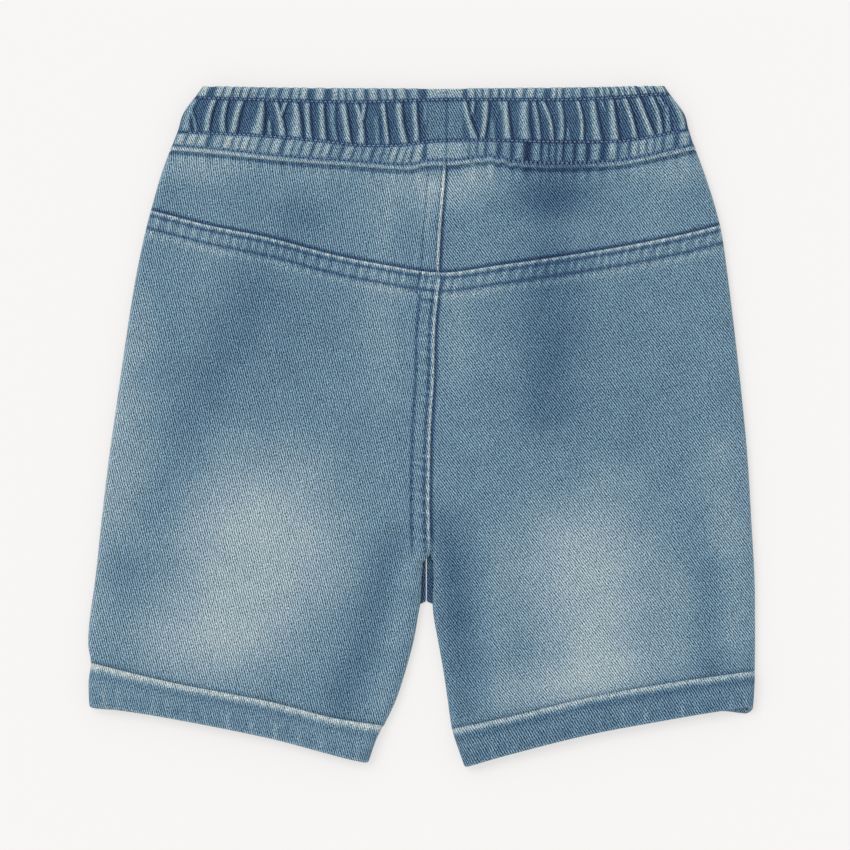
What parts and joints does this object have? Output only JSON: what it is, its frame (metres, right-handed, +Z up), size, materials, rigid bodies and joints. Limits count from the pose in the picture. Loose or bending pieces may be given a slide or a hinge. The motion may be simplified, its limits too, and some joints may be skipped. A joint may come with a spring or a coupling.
{
  "type": "denim shorts",
  "caption": "Child's pull-on denim shorts laid flat with the back up: gathered elastic waistband, back yokes with felled seams, and turned-up cuffs.",
  "frame": {"origin": "on the table, under the middle of the box round the laid garment", "axes": "+X across the back towards the wearer's right, +Y from the hems to the waist, +Z up from the table"},
  "size_m": [0.299, 0.3053, 0.0091],
  "materials": {
    "waistband_denim": "washed mid-blue denim, dark between pale gathers",
    "yoke_denim": "washed light-blue twill denim",
    "leg_denim": "washed light-blue twill denim with a sanded fade on each leg",
    "cuff_denim": "mid-blue twill denim, worn pale along the edge"
  },
  "bodies": {
    "root": {"waistband": "waistband_denim", "yoke_left": "yoke_denim", "yoke_right": "yoke_denim", "back_left": "leg_denim", "back_right": "leg_denim", "front_left": "leg_denim", "front_right": "leg_denim", "cuff_left": "cuff_denim", "cuff_right": "cuff_denim"}
  },
  "joints": []
}
